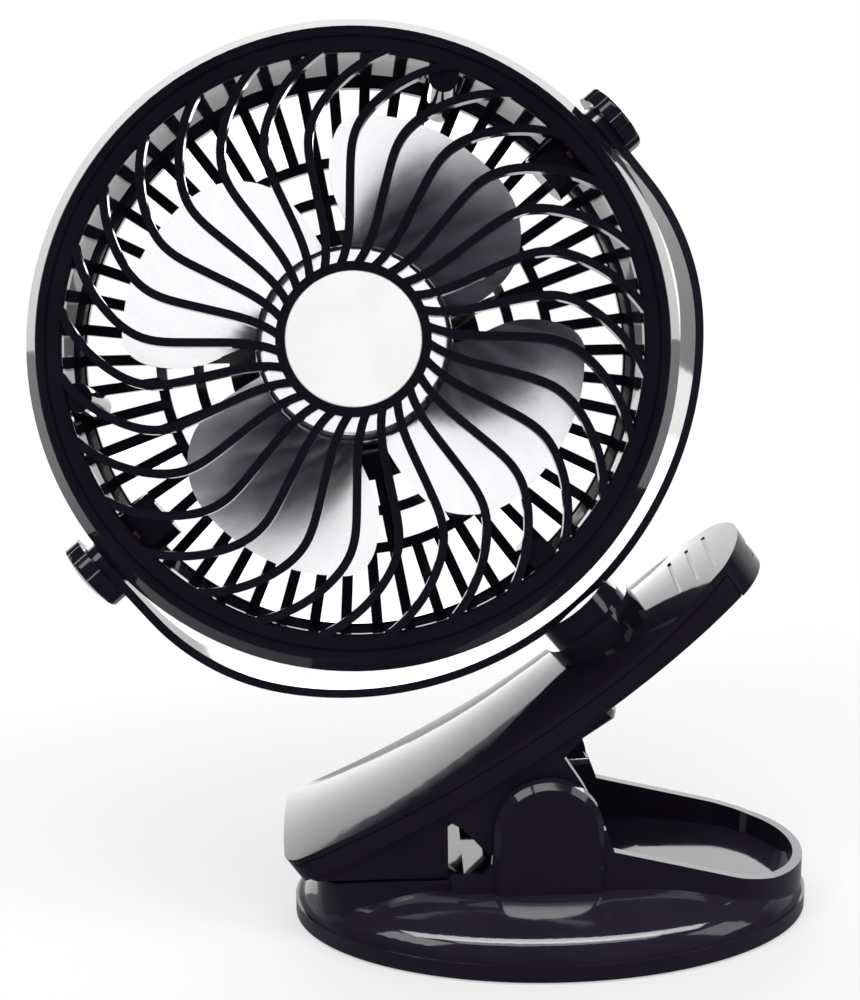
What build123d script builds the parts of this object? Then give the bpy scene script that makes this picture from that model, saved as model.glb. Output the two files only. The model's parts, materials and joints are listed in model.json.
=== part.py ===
from build123d import *
from math import acos, atan2, cos, degrees, pi, radians, sin, sqrt
import os

# A small clip-on fan: a round caged head tilts in a half-ring yoke, the yoke swivels on the upper
# jaw of a sprung clip, and the lower jaw carries an oval foot, so it also stands on a table.
# Millimetres. X runs along the clip with the mouth at -X, Z is up, and the origin is on the
# table under the middle of the foot.

# ---- Driving dimensions -------------------------------------------------------------------

# Foot and lower jaw
foot_length = 114.0
foot_width = 72.0
foot_bottom = 0.5          # the shell clears the table by this much, standing on its pads
foot_band = 4.2            # top of the upright band round the foot
foot_dome = (               # the deck's inset from the band and its rise above it
    (0.5, -0.4), (1.0, 1.4), (2.2, 3.2), (4.6, 5.0), (9.0, 7.0), (16.0, 8.8), (24.0, 9.8),
)
foot_wall = 2.2
jaw_width = 39.0           # across the outside of the jaw walls
jaw_wall = 2.1
jaw_nose = 56.2            # x of the rounded nose of the lower jaw
jaw_mouth = -54.4          # x of the clamping end
platform_top = 14.8        # height of the lower clamping face
platform_width = 35.0
platform_corner = 8.0
platform_setback = 2.4     # the platform ends this far inside the mouth
tub_floor = 12.0           # floor between the jaw walls at the hinge
tub_start = -20.0          # x where the open tub begins
wall_start = -23.0
wall_by_mouth = 16.8
nose_floor = 7.5           # floor height just inside the nose
floor_break = 20.0         # x where the floor starts to fall
wall_by_lug = 22.0
wall_by_nose = 12.4
lug_radius = 11.7
lug_face = 21.0            # half width across the outer faces of the lugs
lug_chamfer = 1.2
pin_x = -2.0
pin_z = 27.3
pin_diameter = 4.0

# Base cover, feet and screws
cover_thickness = 1.8
cover_recess = 0.4
pad_diameter = 9.0
pad_socket = 0.5
screw_shank = 2.4
screw_head = 4.6
screw_head_height = 0.9
boss_wall = 1.6

# Upper jaw (the battery arm)
arm_half_width = 18.0
arm_mouth_x = -57.3        # seam corner at the mouth
arm_mouth_z = 19.4
arm_grip_x = 38.8          # seam corner at the grip
arm_grip_z = 85.1
seam_sag = 5.9             # the seam line hangs this much below its chord
seam_gap = 0.2
casing_wall = 1.8
grip_overhang = 2.3        # the grip's rounded end past the seam corner
grip_corner = 12.2         # half width where the rounded end begins
mouth_overhang = 0.3
corner_radius = 4.0
upper_edge = 1.5           # upright edge of the upper casing above the seam
side_depth = 4.0           # upright side of the lower casing below the seam
belly_depth = 7.2          # depth of the lower casing at its middle
end_lip = 6.8              # the upper casing wraps down over the grip's end by this much
block_bottom = 15.6        # underside of the clamping block
block_rear = -23.5
block_half_width = 16.5
block_wall = 2.0
ear_inner = 14.4           # half distance between the ears
ear_outer = 17.0
ear_radius = 9.5
clamp_pad_length = 24.0
clamp_pad_width = 26.0
clamp_pad_thickness = 1.4
clamp_pad_setback = 4.0
pad_proud = 0.35
pad_gap = 0.12             # rest gap between the two clamping pads
slot_length = 18.0         # thumb grooves on the grip
slot_width = 0.9
slot_depth = 0.9
slot_first = 43.5
slot_pitch = 4.6
slot_count = 3

# Cell, board and controls in the arm
cell_diameter = 14.0
cell_length = 50.0
cell_start = -35.5
cell_clearance = 0.2
cell_depth = 10.0          # cell axis below the chord
cell_end_room = 0.6
trough_wall = 1.4
board_start = 31.0
board_length = 19.0
board_width = 20.0
board_thickness = 1.2
board_top = -4.0           # above the chord
switch_side = 6.0          # inner side of the switch under the board
tongue_end = 56.0
tongue_width = 10.0
button_u = 30.5
button_length = 8.0
button_height = 3.0
button_thickness = 2.0
button_outer = 18.5        # half width of the arm to the button's face
button_travel = 0.6
button_gap = 0.2
lens_u = 39.5
lens_diameter = 2.4
socket_width = 7.6
socket_height = 2.8
socket_length = 5.4
socket_recess = 0.5

# Swivel, yoke and the pose of the head
stem_x = 9.65              # where the swivel axis meets the arm
stem_z = 66.0
stem_tilt = 38.4           # the swivel axis leans this much toward the mouth
head_distance = 81.5       # from the arm to the head's centre along the swivel axis
yoke_swivel = 12.0         # the yoke is turned this much about the swivel axis
head_pitch = 15.5          # the head is turned this much about its pivots
yoke_radius = 73.6
yoke_half_span = 68.9      # outside of the arms at the pivots
yoke_straight = 14.0
yoke_thickness = 1.8
yoke_width = 10.4
boss_diameter = 18.6
flange_diameter = 22.0
flange_height = 1.5
collar_rise = 2.0          # swivel collar above the arm's crown
swivel_gap = 0.12
shaft_diameter = 9.0
inner_boss_depth = 4.0     # swivel boss below the crown, inside the casing
washer_diameter = 13.0
washer_thickness = 1.0
running_gap = 0.06

# Head
rim_radius = 64.2          # front edge of the front ring
shell_radius = 66.8        # largest radius, at the seam of the two shells
rim_inner = 59.0
rim_front = 9.0
shell_seam = 4.0
shell_wall = 2.0
rear_radius = 60.4
rear_back = -25.0
grille_plate = 2.2
front_dome = 8.0           # the hub of the front grille stands this far before the rim
rib_count = 28
rib_width = 1.75
rib_depth = 3.4
rib_start = -5.9           # degrees
hub_ring_radius = 15.6
hub_ring_depth = 5.0
badge_radius = 13.7
badge_thickness = 1.3
rear_bar_count = 54
rear_bar_width = 2.3
rear_disc_radius = 26.5
rear_ring_inner = 34.0
rear_ring_outer = 42.0
rear_ring_width = 2.2
rear_spoke_count = 18
cap_radius = 26.0
cap_depth = 4.0
cap_wall = 1.6
shell_screw_angles = (30, 150, 270)
shell_screw_radius = 57.0
shell_post_diameter = 6.0
shell_screw_seat = -8.0
pivot_boss_diameter = 11.0
pivot_boss_inner = 52.0    # the pivot bosses reach in to this distance from the axis
pivot_gap = 0.05
stud_diameter = 4.0
insert_diameter = 8.0
insert_inner = 58.6
knob_diameter = 15.2
knob_height = 4.6
knob_flutes = 12

# Motor and rotor
motor_diameter = 24.4
motor_length = 14.0
motor_cup_radius = 16.0
motor_clearance = 0.15
motor_screw_radius = 8.0
shaft_radius = 1.0
rotor_hub_radius = 20.2
rotor_hub_front = 8.0
rotor_hub_back = -8.5
rotor_wall = 1.8
blade_count = 4
blade_thickness = 1.5
blade_back = -7.4
blade_front = 5.0
blade_camber = 1.2
blade_root = 19.0

# Hinge spring
spring_wire = 1.4
spring_radius = 4.2
spring_pitch = 2.0
spring_turns = 6
spring_foot_x = 8.0        # where the lower leg meets the floor of the tub
spring_leg = 11.0

# ---- Derived values -----------------------------------------------------------------------

chord_dx = arm_grip_x - arm_mouth_x
chord_dz = arm_grip_z - arm_mouth_z
arm_slope = degrees(atan2(chord_dz, chord_dx))
half_chord = sqrt(chord_dx ** 2 + chord_dz ** 2) / 2
seam_radius = (half_chord ** 2 + seam_sag ** 2) / (2 * seam_sag)
arm_start = -half_chord - mouth_overhang
arm_end = half_chord + grip_overhang
arm_mid = Vector((arm_mouth_x + arm_grip_x) / 2, 0, (arm_mouth_z + arm_grip_z) / 2)
arm_along = Vector(cos(radians(arm_slope)), 0, sin(radians(arm_slope)))
arm_up = Vector(-sin(radians(arm_slope)), 0, cos(radians(arm_slope)))
arm_place = Plane(origin=arm_mid, x_dir=arm_along, z_dir=arm_up).location

stem_dir = Vector(-sin(radians(stem_tilt)), 0, cos(radians(stem_tilt)))
upslope = Vector(cos(radians(stem_tilt)), 0, sin(radians(stem_tilt)))
pivot_dir = upslope * cos(radians(yoke_swivel)) + Vector(0, 1, 0) * sin(radians(yoke_swivel))
yoke_normal = pivot_dir.cross(stem_dir)
face_dir = yoke_normal * cos(radians(head_pitch)) + stem_dir * sin(radians(head_pitch))
head_centre = Vector(stem_x, 0, stem_z) + stem_dir * head_distance
yoke_place = Plane(origin=head_centre, x_dir=pivot_dir, z_dir=yoke_normal).location
head_place = Plane(origin=head_centre, x_dir=pivot_dir, z_dir=face_dir).location
stem_plane = Plane(origin=head_centre, x_dir=pivot_dir, z_dir=stem_dir * -1)

swivel_level = head_distance - collar_rise     # swivel face, measured from the head's centre
seat_level = head_distance + inner_boss_depth
cover_bottom = foot_bottom + cover_recess
cover_top = cover_bottom + cover_thickness
pin_half = lug_face - 1.8
lower_pad_top = platform_top + pad_proud
upper_pad_bottom = lower_pad_top + pad_gap
pivot_face = yoke_half_span - yoke_thickness - pivot_gap
knob_back = yoke_half_span + 0.1
cell_end = cell_start + cell_length
button_inner = button_outer - button_thickness
switch_face = board_width / 2 - 0.8
motor_back = rear_back + grille_plate
motor_front = motor_back + motor_length

cover_screw_places = [(x, y) for x in (-38.0, 38.0) for y in (-17.0, 17.0)]
foot_pad_places = [(x, y) for x in (-27.0, 27.0) for y in (-24.0, 24.0)] + [(0.0, 0.0)]
casing_screw_places = [(-46.0, -10.5), (-46.0, 10.5), (29.0, -13.7), (17.0, 13.9)]

os.makedirs("parts", exist_ok=True)


def save(name, shape):
    export_step(shape, f"parts/{name}.step")


def block(x0, x1, y0, y1, z0, z1):
    body = Box(x1 - x0, y1 - y0, z1 - z0)
    return body.moved(Location(((x0 + x1) / 2, (y0 + y1) / 2, (z0 + z1) / 2)))


def rod(radius, start, end, plane=Plane.XY):
    """A cylinder along the plane's normal, from one height to another."""
    body = Cylinder(radius, end - start, align=(Align.CENTER, Align.CENTER, Align.MIN))
    return plane.location * body.moved(Location((0, 0, start)))


def cross_rod(x, z, radius, y0, y1):
    """A cylinder along Y."""
    return rod(radius, y0, y1, Plane(origin=(x, 0, z), x_dir=(1, 0, 0), z_dir=(0, 1, 0)))


def side_plate(points, y0, y1):
    """A plate cut to an outline in the XZ plane, between two values of y."""
    outline = make_face(Polyline(*[(x, 0, z) for x, z in points], close=True))
    return extrude(outline, amount=y1 - y0, dir=(0, 1, 0)).moved(Location((0, y0, 0)))


def turned(points):
    """A solid turned about Z from a closed outline of (radius, height) points."""
    outline = make_face(Polyline(*[(r, 0, z) for r, z in points], close=True))
    return revolve(outline, Axis.Z)


def polar(radius, angle):
    return (radius * cos(radians(angle)), radius * sin(radians(angle)))


def to_arm(shape):
    return arm_place.inverse() * shape


def group(solids):
    return Compound(children=solids)


def pan_screw(x, y, head_z, length):
    """A cross-head screw standing on its head."""
    place = Plane(origin=(x, y, 0))
    body = rod(screw_head / 2, head_z, head_z + screw_head_height, place)
    body += rod(screw_shank / 2 - 0.05, head_z + screw_head_height, head_z + length, place)
    cross = Box(2.4, 0.5, 0.9) + Box(0.5, 2.4, 0.9)
    return (body - cross.moved(Location((x, y, head_z)))).solid()


# ---- Foot and lower jaw -------------------------------------------------------------------

def band(inset, z0, z1):
    ring = Ellipse(foot_length / 2 - inset, foot_width / 2 - inset)
    return extrude(ring, amount=z1 - z0).moved(Location((0, 0, z0)))


def dome(drop):
    """The domed deck of the foot, drawn in and lowered by the same amount."""
    layers = []
    for inset, rise in foot_dome:
        ring = Ellipse(foot_length / 2 - inset - drop, foot_width / 2 - inset - drop)
        layers.append(ring.moved(Location((0, 0, foot_band + rise - drop))))
    return loft(layers)


def jaw_plan(inset, start, z0, z1):
    """The lower jaw seen from above: straight walls closed by a rounded nose."""
    half = jaw_width / 2 - inset
    nose = jaw_nose - inset
    corner = nose - half * 0.9
    outline = Line((start, -half), (corner, -half))
    outline += ThreePointArc((corner, -half), (nose, 0), (corner, half))
    outline += Line((corner, half), (start, half))
    outline += Line((start, half), (start, -half))
    return extrude(make_face(outline), amount=z1 - z0).moved(Location((0, 0, z0)))


def jaw_walls():
    walls = jaw_plan(0, wall_start, foot_band - 1, pin_z)
    return walls & side_plate(
        [
            (wall_start, 0), (jaw_nose, 0), (jaw_nose, wall_by_nose), (47.4, wall_by_nose + 0.8),
            (40.7, 14.6), (12.1, wall_by_lug), (10.2, pin_z), (pin_x - lug_radius, pin_z),
            (pin_x - lug_radius - 0.6, 19.2), (-16.2, wall_by_mouth), (wall_start, wall_by_mouth),
        ],
        -jaw_width, jaw_width,
    )


def hinge_lugs():
    lug = cross_rod(pin_x, pin_z, lug_radius, -lug_face, lug_face)
    lug += block(pin_x - lug_radius, pin_x + lug_radius, -lug_face, lug_face, foot_band, pin_z)
    outer_faces = lug.faces().filter_by(Axis.Y)
    edges = outer_faces[0].edges() + outer_faces[-1].edges()
    return chamfer([e for e in edges if e.center().Z > foot_band + 1], lug_chamfer)


def lower_pad_block(spread):
    x0 = jaw_mouth + clamp_pad_setback
    return block(
        x0 - spread, x0 + clamp_pad_length + spread,
        -clamp_pad_width / 2 - spread, clamp_pad_width / 2 + spread,
        lower_pad_top - clamp_pad_thickness, lower_pad_top + 20 * spread,
    )


def lower_jaw():
    foot = band(0, foot_bottom, foot_band)
    platform = block(
        jaw_mouth + platform_setback, tub_start, -platform_width / 2, platform_width / 2,
        foot_band - 1, platform_top,
    )
    platform = fillet(platform.edges().filter_by(Axis.Z).group_by(Axis.X)[0], platform_corner)
    solid = foot + dome(0) + platform + jaw_walls() + hinge_lugs()
    tub = side_plate(
        [
            (tub_start, tub_floor), (floor_break, tub_floor), (jaw_nose - 4, nose_floor),
            (jaw_nose + 4, nose_floor), (jaw_nose + 4, 60), (tub_start, 60),
        ],
        -jaw_width, jaw_width,
    )
    solid -= tub & jaw_plan(jaw_wall, tub_start, 0, 60)
    inner_half = jaw_width / 2 - jaw_wall
    solid -= block(wall_start - 1, tub_start + 1, -inner_half, inner_half, platform_top, 60)
    under = side_plate(
        [
            (-60, 11.5), (tub_start - foot_wall, 11.5), (tub_start - foot_wall, tub_floor - foot_wall),
            (floor_break, tub_floor - foot_wall), (jaw_nose - 4, nose_floor - foot_wall),
            (60, nose_floor - foot_wall), (60, -1), (-60, -1),
        ],
        -60, 60,
    )
    hollow = (band(foot_wall, -1, foot_band - 0.5) + dome(foot_wall)) & under
    for x, y in cover_screw_places:
        hollow -= rod(screw_shank / 2 + boss_wall, cover_top, 20, Plane(origin=(x, y, 0)))
    solid -= hollow
    for x, y in cover_screw_places:
        solid -= rod(screw_shank / 2, cover_top - 1, cover_top + 3.8, Plane(origin=(x, y, 0)))
    solid -= cross_rod(pin_x, pin_z, pin_diameter / 2, -pin_half, pin_half)
    return solid - lower_pad_block(0.05)


def base_cover():
    plate = band(foot_wall + 0.2, cover_bottom, cover_top)
    for x, y in cover_screw_places:
        place = Plane(origin=(x, y, 0))
        plate -= rod(screw_shank / 2 + 0.2, 0, 9, place)
        plate -= rod(screw_head / 2 + 0.2, 0, cover_bottom + screw_head_height, place)
    for x, y in foot_pad_places:
        plate -= rod(pad_diameter / 2 + 0.05, 0, cover_bottom + pad_socket, Plane(origin=(x, y, 0)))
    return plate


def foot_pads():
    pads = []
    for x, y in foot_pad_places:
        pad = rod(pad_diameter / 2, 0, cover_bottom + pad_socket, Plane(origin=(x, y, 0)))
        pads.append(fillet(pad.edges().group_by(Axis.Z)[0], 0.3).solid())
    return group(pads)


def base_screws():
    return group([pan_screw(x, y, cover_bottom, 5.2) for x, y in cover_screw_places])


def pad_grooves(z0, z1):
    grooves = []
    for i in range(5):
        x = jaw_mouth + clamp_pad_setback + clamp_pad_length * (i + 1) / 6
        grooves.append(block(x - 0.5, x + 0.5, -clamp_pad_width, clamp_pad_width, z0, z1))
    return grooves


def lower_jaw_pad():
    pad = lower_pad_block(0)
    for groove in pad_grooves(lower_pad_top - 0.4, lower_pad_top + 1):
        pad -= groove
    return pad


def hinge_pin():
    pin = cross_rod(pin_x, pin_z, pin_diameter / 2, -pin_half, pin_half)
    return chamfer(pin.edges().filter_by(GeomType.CIRCLE), 0.4)


# ---- Hinge spring -------------------------------------------------------------------------

def biarc(p0, t0, p1, t1):
    """Two arcs that join two points and keep both tangents."""
    gap = p1 - p0
    both = t0 + t1
    a = both.dot(both) - 4
    b = -2 * gap.dot(both)
    c = gap.dot(gap)
    reach = (-b - sqrt(b * b - 4 * a * c)) / (2 * a) if abs(a) > 1e-9 else -c / b
    reach = abs(reach)
    joint = (p0 + t0 * reach + p1 - t1 * reach) / 2
    middle = ((p1 - t1 * reach) - (p0 + t0 * reach)).normalized()
    return [Edge.make_tangent_arc(p0, t0, joint), Edge.make_tangent_arc(joint, middle, p1)]


def spring_path():
    """The lower leg, the coil wound about the hinge pin, and the upper leg toward the grip."""
    foot = Vector(spring_foot_x - pin_x, 0, tub_floor + 0.65 - pin_z)
    first = atan2(foot.Z, foot.X) - acos(spring_radius / foot.length)
    last = pi / 2 - 2 * pi * spring_turns
    steps = 4 * spring_turns - 2
    rise = spring_pitch / (2 * pi * spring_radius)
    points, tangents = [], []
    for i in range(steps + 1):
        turn = first + (last - first) * i / steps
        y = spring_pitch * (first - turn) / (2 * pi) - spring_pitch * (first - last) / (4 * pi)
        points.append(Vector(pin_x + spring_radius * cos(turn), y, pin_z + spring_radius * sin(turn)))
        tangents.append(Vector(sin(turn), rise, -cos(turn)).normalized())
    leg = sqrt(foot.length ** 2 - spring_radius ** 2)
    edges = [Edge.make_line(points[0] - tangents[0] * leg, points[0])]
    for i in range(steps):
        edges += biarc(points[i], tangents[i], points[i + 1], tangents[i + 1])
    edges.append(Edge.make_line(points[-1], points[-1] + tangents[-1] * spring_leg))
    return Wire(edges)


def torsion_spring():
    path = spring_path()
    disc = Plane(origin=path @ 0, z_dir=path % 0) * Circle(spring_wire / 2)
    return sweep(disc, path=path)


def least_spring_gap():
    path = spring_path()
    count = 700
    points = [path @ (i / count) for i in range(count + 1)]
    skip = int(count * 4 * spring_wire / path.length)
    least = 99.0
    for i in range(0, count, 2):
        for j in range(i + skip, count + 1, 2):
            least = min(least, (points[i] - points[j]).length)
    return least - spring_wire


# ---- Upper jaw ----------------------------------------------------------------------------

arm_stations = (-62.0, -33.0, -8.0, 23.0, 42.0, 64.0)
crown_rises = (2.2, 3.6, 4.9, 5.5, 3.6, 1.8)


def seam_height(u):
    """Height of the seam line over the arm's chord, at a distance along it."""
    return seam_radius - seam_sag - sqrt(seam_radius ** 2 - u ** 2)


def crown_at(u):
    for i in range(len(arm_stations) - 1):
        if u <= arm_stations[i + 1]:
            break
    share = (u - arm_stations[i]) / (arm_stations[i + 1] - arm_stations[i])
    return crown_rises[i] + (crown_rises[i + 1] - crown_rises[i]) * share


def band_middle(u):
    """Height of the middle of the lower casing's side band."""
    return seam_height(u) - seam_gap / 2 - side_depth / 2


def arm_section(u, top, top_side, bottom, bottom_side):
    """A cross-section of the arm, wider than the arm so that its plan outline trims it."""
    wide = arm_half_width + 1.5
    spread = (wide / arm_half_width) ** 2
    top_edge = top - (top - top_side) * spread
    bottom_edge = bottom - (bottom - bottom_side) * spread
    outline = Line((-wide, bottom_edge), (-wide, top_edge))
    if top == top_side:
        outline += Line((-wide, top_edge), (wide, top_edge))
    else:
        outline += ThreePointArc((-wide, top_edge), (0, top), (wide, top_edge))
    outline += Line((wide, top_edge), (wide, bottom_edge))
    if bottom == bottom_side:
        outline += Line((wide, bottom_edge), (-wide, bottom_edge))
    else:
        outline += ThreePointArc((wide, bottom_edge), (0, bottom), (-wide, bottom_edge))
    place = Plane(origin=(u, 0, seam_height(u)), x_dir=(0, 1, 0), z_dir=(1, 0, 0))
    return place.location * make_face(outline)


def arm_body(top, top_side, bottom, bottom_side):
    """The arm between two heights over the seam; a height may change from station to station."""
    sections = []
    for i, u in enumerate(arm_stations):
        values = [v[i] if isinstance(v, tuple) else v for v in (top, top_side, bottom, bottom_side)]
        sections.append(arm_section(u, *values))
    return loft(sections)


def arm_plan(inset, v0=-60.0, v1=60.0):
    """The arm seen square to its length: straight sides, a narrowing grip and a rounded end."""
    half = arm_half_width - inset
    start = arm_start + inset
    end = arm_end - inset
    bend = (40 - 0.17 * inset, 16.2 - 0.98 * inset)
    corner = (54 - 0.45 * inset, grip_corner - 0.9 * inset)
    outline = Line((start, -half), (22, -half))
    outline += ThreePointArc((22, -half), (bend[0], -bend[1]), (corner[0], -corner[1]))
    outline += ThreePointArc((corner[0], -corner[1]), (end, 0), corner)
    outline += ThreePointArc(corner, bend, (22, half))
    outline += Line((22, half), (start, half))
    outline += Line((start, half), (start, -half))
    face = make_face(outline)
    corners = [p for p in face.vertices() if p.X < 0 or p.X > 50]
    face = fillet(corners, corner_radius - min(inset, 2.0))
    return extrude(face, amount=v1 - v0).moved(Location((0, 0, v0)))


def high_part(z):
    """Everything above a world height, in the arm's frame."""
    return to_arm(block(-90, 90, -60, 60, z, 200))


def socket_room(spread):
    """The charging socket in the grip's rounded end."""
    return block(
        arm_end - socket_recess - socket_length - spread, arm_end - socket_recess + 20 * spread,
        -socket_width / 2 - spread, socket_width / 2 + spread,
        board_top - spread, board_top + socket_height + spread,
    )


def upper_casing():
    solid = arm_body(crown_rises, upper_edge, seam_gap / 2, seam_gap / 2) & arm_plan(0)
    solid += to_arm(rod(flange_diameter / 2, swivel_level, head_distance + 3, stem_plane))
    inner_rises = tuple(rise - casing_wall for rise in crown_rises)
    hollow = arm_body(inner_rises, upper_edge * 0.4, -3.0, -3.0) & arm_plan(casing_wall)
    for u, y in casing_screw_places:
        hollow -= rod(screw_shank / 2 + boss_wall, -40, 40, Plane(origin=(u, y, 0)))
    solid -= hollow
    lip = arm_plan(0, -end_lip, 0.6) - arm_plan(casing_wall)
    solid += lip & block(54, 70, -30, 30, -60, 60)
    solid += to_arm(rod(shaft_diameter / 2 + 3, swivel_level + 1, seat_level, stem_plane))
    solid -= to_arm(rod(shaft_diameter / 2 + running_gap, 0, head_distance + 20, stem_plane))
    for u, y in casing_screw_places:
        top = seam_height(u) + crown_at(u) * (1 - (y / arm_half_width) ** 2) - 0.2
        solid -= rod(screw_shank / 2, -40, top, Plane(origin=(u, y, 0)))
    for i in range(slot_count):
        u = slot_first + i * slot_pitch
        groove = Box(slot_width, slot_length, slot_depth * 2)
        solid -= groove.moved(Location((u, 0, seam_height(u) + crown_at(u))))
    return arm_place * (solid - socket_room(0.15))


def clamp_block(inset):
    half = block_half_width - inset
    return to_arm(block(
        jaw_mouth + inset, block_rear - inset, -half, half, block_bottom + inset, 60
    ))


def ears():
    """The pair of plates that hang from the arm and turn on the hinge pin."""
    outline = [
        (block_rear - 0.5, 50), (block_rear - 0.5, 29.4), (-20.6, 27.5), (-14.0, 20.5), (-9.0, 18.8),
        (pin_x, pin_z - ear_radius), (4.6, 20.6), (8.6, 24.4), (9.4, 28.6), (5.5, 36.6), (1.4, 43.3),
        (9.0, 52), (9.0, 70), (-20, 70),
    ]
    pair = side_plate(outline, -ear_outer, -ear_inner) + side_plate(outline, ear_inner, ear_outer)
    return to_arm(pair)


def cell_axis():
    return Plane(origin=(0, 0, -cell_depth), x_dir=(0, 1, 0), z_dir=(1, 0, 0))


def trough():
    """Half-round trough for the cell, bulging below the casing, with bevelled ends."""
    radius = cell_diameter / 2 + cell_clearance + trough_wall
    start = cell_start - cell_end_room - trough_wall
    end = cell_end + cell_end_room + trough_wall
    tube = rod(radius, start, end, cell_axis())
    tube = chamfer(tube.edges().filter_by(GeomType.CIRCLE), 1.2)
    return tube & block(-90, 90, -20, 20, -60, 0.6 - cell_depth)


def cell_pocket():
    radius = cell_diameter / 2 + cell_clearance
    start = cell_start - cell_end_room
    end = cell_end + cell_end_room
    return rod(radius, start, end, cell_axis()) + block(start, end, -radius, radius, -cell_depth, 5)


def button_room(spread, inner_y):
    """The push button on the far side of the arm, with room round it when asked."""
    v = band_middle(button_u)
    return block(
        button_u - button_length / 2 - spread, button_u + button_length / 2 + spread,
        inner_y, button_outer + 8 * spread,
        v - button_height / 2 - spread, v + button_height / 2 + spread,
    )


def lens_body(spread):
    axis = Plane(origin=(lens_u, 0, band_middle(lens_u)), x_dir=(1, 0, 0), z_dir=(0, 1, 0))
    return rod(lens_diameter / 2 + spread, board_width / 2 + 0.8, 20, axis) & arm_plan(-0.15)


def upper_pad_block(spread):
    x0 = jaw_mouth + clamp_pad_setback
    return block(
        x0 - spread, x0 + clamp_pad_length + spread,
        -clamp_pad_width / 2 - spread, clamp_pad_width / 2 + spread,
        upper_pad_bottom - 20 * spread, upper_pad_bottom + clamp_pad_thickness,
    )


def lower_casing():
    under_seam = arm_body(-seam_gap / 2, -seam_gap / 2, -50.0, -50.0)
    solid = arm_body(-seam_gap / 2, -seam_gap / 2, -belly_depth, -side_depth) & arm_plan(0)
    solid += clamp_block(0) & under_seam & arm_plan(1.2)
    solid += ears() & under_seam
    solid += trough()
    solid = solid & high_part(block_bottom)
    inner_depths = (casing_wall - belly_depth, casing_wall - side_depth)
    hollow = arm_body(3.0, 3.0, *inner_depths) & arm_plan(casing_wall)
    hollow += clamp_block(block_wall) & arm_body(3.0, 3.0, -50.0, -50.0) & arm_plan(1.2 + block_wall)
    hollow -= trough()
    hollow = hollow & high_part(block_bottom + block_wall)
    for u, y in casing_screw_places:
        hollow -= rod(screw_shank / 2 + boss_wall, -60, 20, Plane(origin=(u, y, 0)))
    for u0 in (board_start, board_start + board_length - 3):
        hollow -= block(u0, u0 + 3, -8, switch_side - 0.5, -60, board_top - board_thickness)
    solid -= hollow
    solid -= cell_pocket()
    past_lip = arm_plan(-1) - arm_plan(casing_wall + 0.15)
    solid -= past_lip & block(53.85, 80, -40, 40, -end_lip - 0.15, 10)
    for u, y in casing_screw_places:
        place = Plane(origin=(u, y, 0))
        solid -= rod(screw_shank / 2 + 0.2, -60, 10, place)
        solid -= rod(screw_head / 2 + 0.2, -60, seam_height(u) - 2.6, place)
    solid -= button_room(button_gap, button_inner - 3)
    solid -= lens_body(0.03)
    solid = arm_place * (solid - socket_room(0.15))
    solid -= cross_rod(pin_x, pin_z, pin_diameter / 2 + running_gap, -30, 30)
    return solid - upper_pad_block(0.05)


def upper_jaw_pad():
    pad = upper_pad_block(0)
    for groove in pad_grooves(upper_pad_bottom - 1, upper_pad_bottom + 0.4):
        pad -= groove
    return pad


def circuit_board():
    end = board_start + board_length
    half = board_width / 2
    bottom = board_top - board_thickness
    plate = block(board_start, end, -half, half, bottom, board_top)
    plate += block(board_start, tongue_end, -tongue_width / 2, tongue_width / 2, bottom, board_top)
    plate += block(board_start + 5, board_start + 10, -4, 1, board_top, board_top + 1.0)
    plate += block(board_start + 12, board_start + 14, 3, 6, board_top, board_top + 0.7)
    plate += block(button_u + 1.7, button_u + 5.0, switch_side, switch_face, band_middle(button_u) - 0.6, bottom)
    return arm_place * plate


def power_button():
    cap = button_room(0, button_inner)
    cap = fillet(cap.faces().sort_by(Axis.Y)[-1].edges(), 0.5)
    v = band_middle(button_u)
    stem_start = switch_face + button_travel + 0.05
    cap += block(button_u + 2.0, button_u + 3.6, stem_start, button_inner + 0.2, v - 0.5, v + 0.5)
    return arm_place * cap


def indicator_lens():
    return arm_place * lens_body(0)


def charging_socket():
    face = arm_end - socket_recess
    half = socket_width / 2
    top = board_top + socket_height
    shell = block(face - socket_length, face, -half, half, board_top, top)
    shell = fillet(shell.edges().filter_by(Axis.X), 0.6)
    shell -= block(face - socket_length + 0.6, face + 1, 0.4 - half, half - 0.4, board_top + 0.4, top - 0.4)
    shell += block(
        face - socket_length + 0.3, face - 0.8, 1.5 - half, half - 1.5, board_top + 1.1, board_top + 1.7
    )
    return arm_place * shell


def battery_cell():
    can = rod(cell_diameter / 2, cell_start, cell_end - 0.8, cell_axis())
    can = fillet(can.edges().filter_by(GeomType.CIRCLE), 0.6)
    can += rod(2.8, cell_end - 1.0, cell_end, cell_axis())
    return arm_place * can


def battery_contacts():
    plates = []
    for u0, u1 in ((cell_start - cell_end_room, cell_start), (cell_end, cell_end + cell_end_room)):
        plate = block(u0, u1, -4.0, 4.0, -cell_depth - 4.0, -cell_depth + 6.0)
        plates.append((arm_place * plate).solid())
    return group(plates)


def casing_screws():
    screws = []
    for u, y in casing_screw_places:
        screw = pan_screw(u, y, seam_height(u) - 2.6 - screw_head_height, screw_head_height + 4.1)
        screws.append((arm_place * screw).solid())
    return group(screws)


# ---- Yoke ---------------------------------------------------------------------------------

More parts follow.
